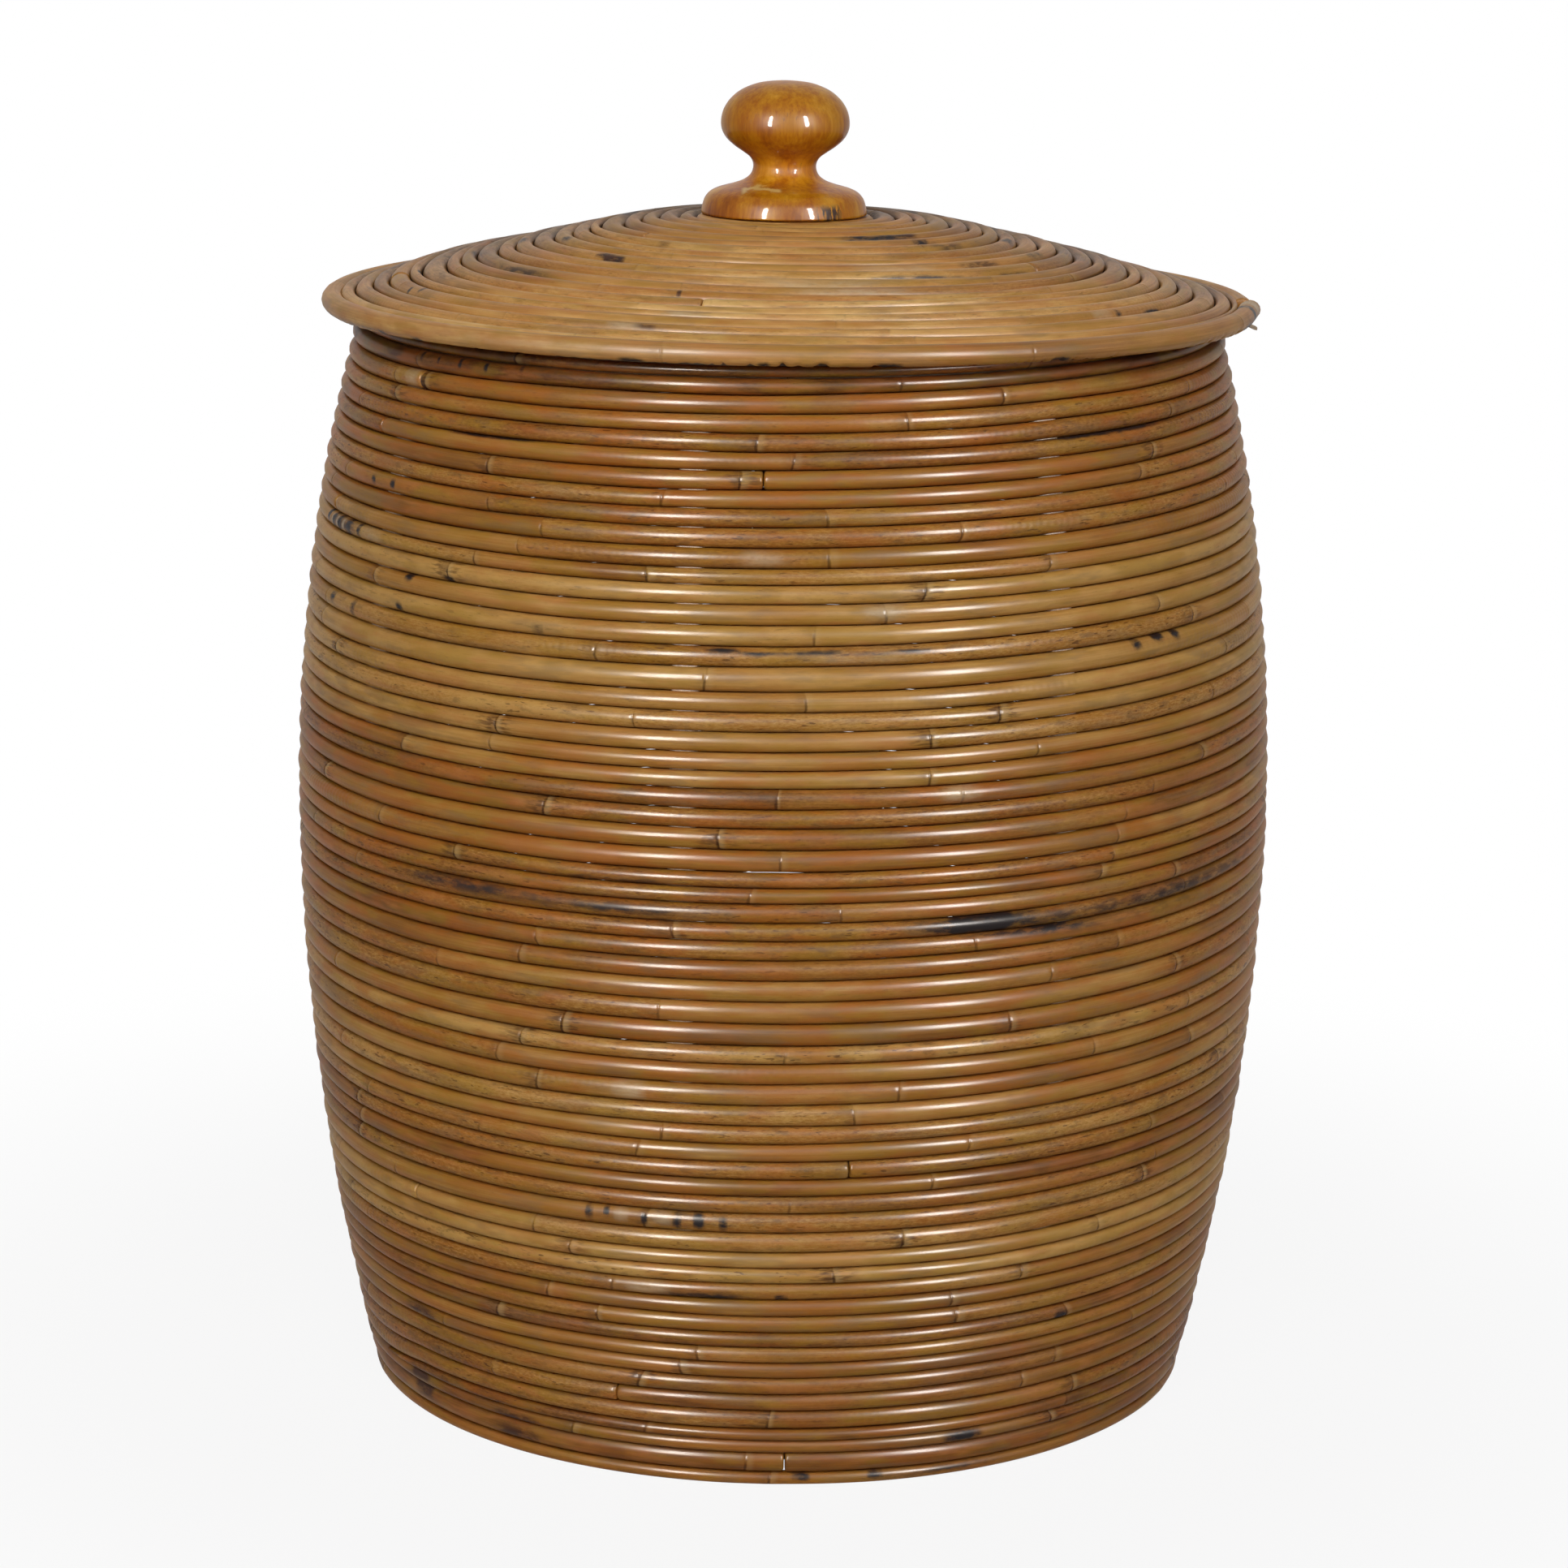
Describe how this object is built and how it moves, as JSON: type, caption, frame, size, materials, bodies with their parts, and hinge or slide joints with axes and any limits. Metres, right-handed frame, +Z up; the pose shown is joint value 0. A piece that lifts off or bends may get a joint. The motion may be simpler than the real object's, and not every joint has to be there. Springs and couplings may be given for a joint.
{
  "type": "lidded coiled cane storage basket",
  "caption": "Tall barrel-shaped storage basket of coiled round cane, with a shallow conical lift-off lid that overhangs the mouth and a turned wooden knob.",
  "frame": {"origin": "middle of the foot, on the floor", "axes": "+Z up along the basket's axis, through the middle of the knob; the front of the basket, as pictured, faces -Y, with +X to its right"},
  "size_m": [0.44, 0.44, 0.5873],
  "materials": {
    "wall_cane": "brown stained cane under a gloss lacquer",
    "lid_cane": "golden cane under a satin lacquer",
    "split_cane": "bare split cane, matt",
    "knob_wood": "amber turned wood under a high-gloss lacquer",
    "steel": "plain zinc-plated steel"
  },
  "bodies": {
    "basket": {"foot_hoop_01": "wall_cane", "foot_hoop_02": "wall_cane", "foot_hoop_03": "wall_cane", "wall_cane_01": "wall_cane", "wall_cane_02": "wall_cane", "wall_cane_03": "wall_cane", "wall_cane_04": "wall_cane", "wall_cane_05": "wall_cane", "wall_cane_06": "wall_cane", "wall_cane_07": "wall_cane", "wall_cane_08": "wall_cane", "wall_cane_09": "wall_cane", "wall_cane_10": "wall_cane", "wall_cane_11": "wall_cane", "wall_cane_12": "wall_cane", "wall_cane_13": "wall_cane", "wall_cane_14": "wall_cane", "wall_cane_15": "wall_cane", "wall_cane_16": "wall_cane", "wall_cane_17": "wall_cane", "wall_cane_18": "wall_cane", "wall_cane_19": "wall_cane", "wall_cane_20": "wall_cane", "mouth_hoop": "wall_cane", "base_cane_01": "lid_cane", "base_cane_02": "lid_cane", "base_cane_03": "lid_cane", "base_batten_01": "split_cane", "base_batten_02": "split_cane", "base_batten_03": "split_cane", "wall_rib_01": "split_cane", "wall_rib_02": "split_cane", "wall_rib_03": "split_cane", "wall_rib_04": "split_cane", "wall_rib_05": "split_cane", "wall_rib_06": "split_cane", "wall_rib_07": "split_cane", "wall_rib_08": "split_cane"},
    "lid": {"lid_cane_01": "lid_cane", "lid_cane_02": "lid_cane", "lid_cane_03": "lid_cane", "lid_cane_04": "lid_cane", "lid_cane_05": "lid_cane", "lid_rim_cane": "lid_cane", "lid_locating_ring": "split_cane", "lid_rib_01": "split_cane", "lid_rib_02": "split_cane", "lid_rib_03": "split_cane", "lid_rib_04": "split_cane", "knob": "knob_wood", "knob_hub": "split_cane", "knob_washer": "steel", "knob_screw": "steel"}
  },
  "joints": [
    {"name": "lid_lift", "type": "slide", "parent": "basket", "child": "lid", "axis": [0, 0, 1], "range_m": [0, 0.3]}
  ]
}
